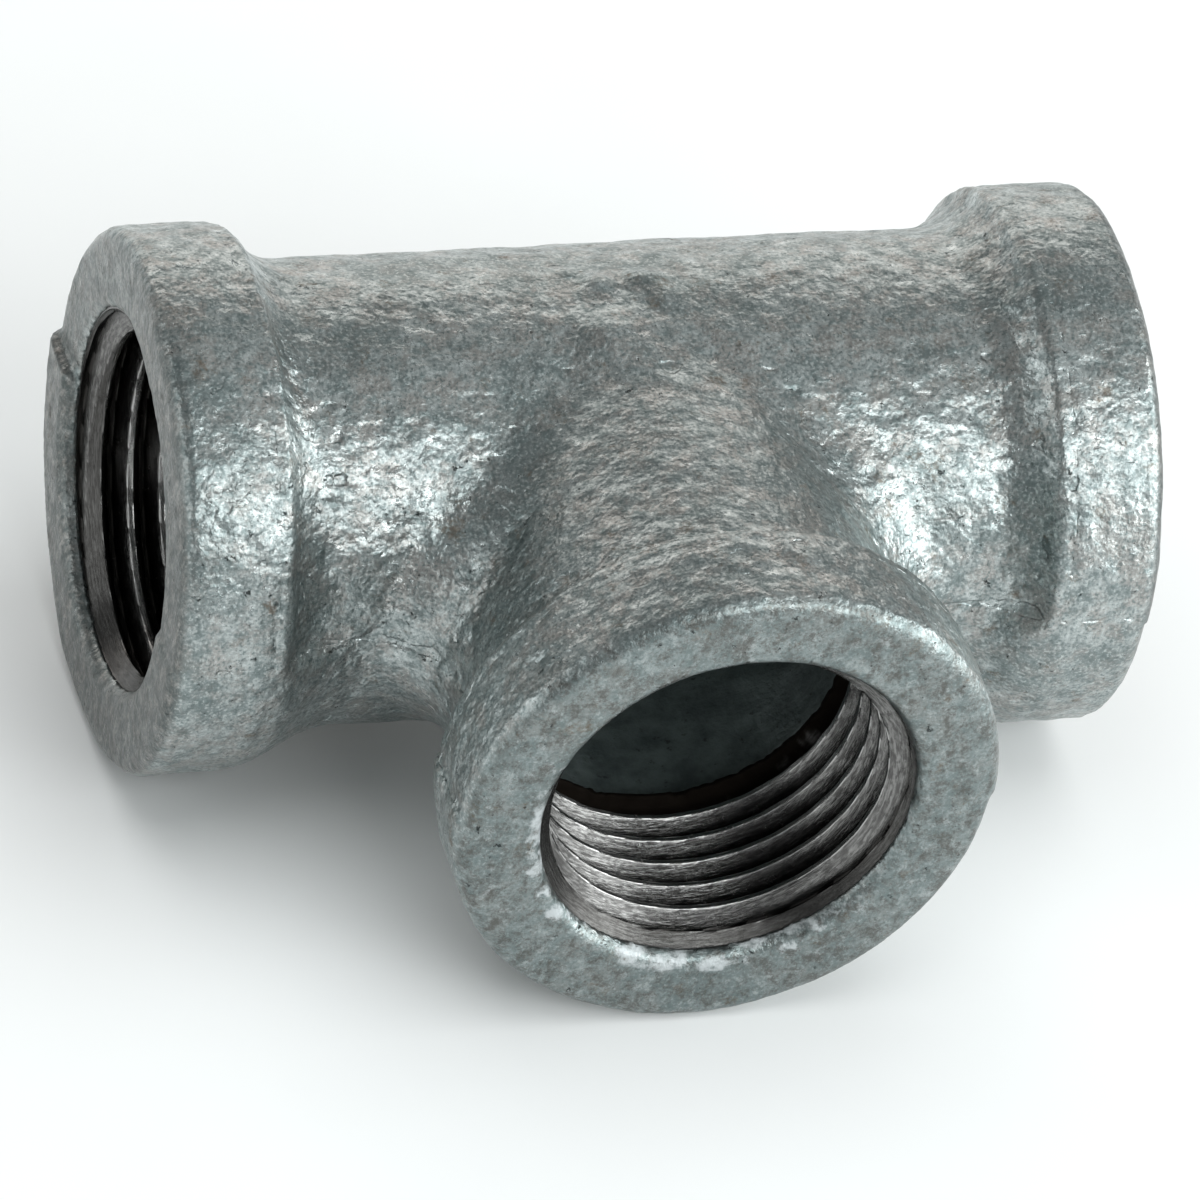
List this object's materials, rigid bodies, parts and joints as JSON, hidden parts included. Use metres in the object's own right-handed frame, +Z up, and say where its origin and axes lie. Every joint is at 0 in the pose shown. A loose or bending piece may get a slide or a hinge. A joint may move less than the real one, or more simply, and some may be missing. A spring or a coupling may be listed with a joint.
{
  "type": "pipe tee",
  "caption": "Equal pipe tee: a straight run and a square branch, each ending in a thick round band with an internal pipe thread.",
  "frame": {"origin": "on the floor under the tee as it lies flat, at the centre of its outline: the three axes cross 14.95 mm above it and 6.53 mm towards +Y", "axes": "+X along the run, to the right end; -Y along the branch, out of its mouth; +Z up, square to all three axes"},
  "size_m": [0.056, 0.043, 0.0299],
  "materials": {
    "galvanised_casting": "hot-dip galvanised over a sand-cast skin, dull metallic grey with a faint green-blue mottle",
    "cut_iron": "bare machined iron, dark, fine tool marks round the bore"
  },
  "bodies": {
    "root": {"tee_body": "galvanised_casting", "run_band_left": "galvanised_casting", "run_band_right": "galvanised_casting", "branch_band": "galvanised_casting", "run_thread_left": "cut_iron", "run_thread_right": "cut_iron", "branch_thread": "cut_iron"}
  },
  "joints": []
}
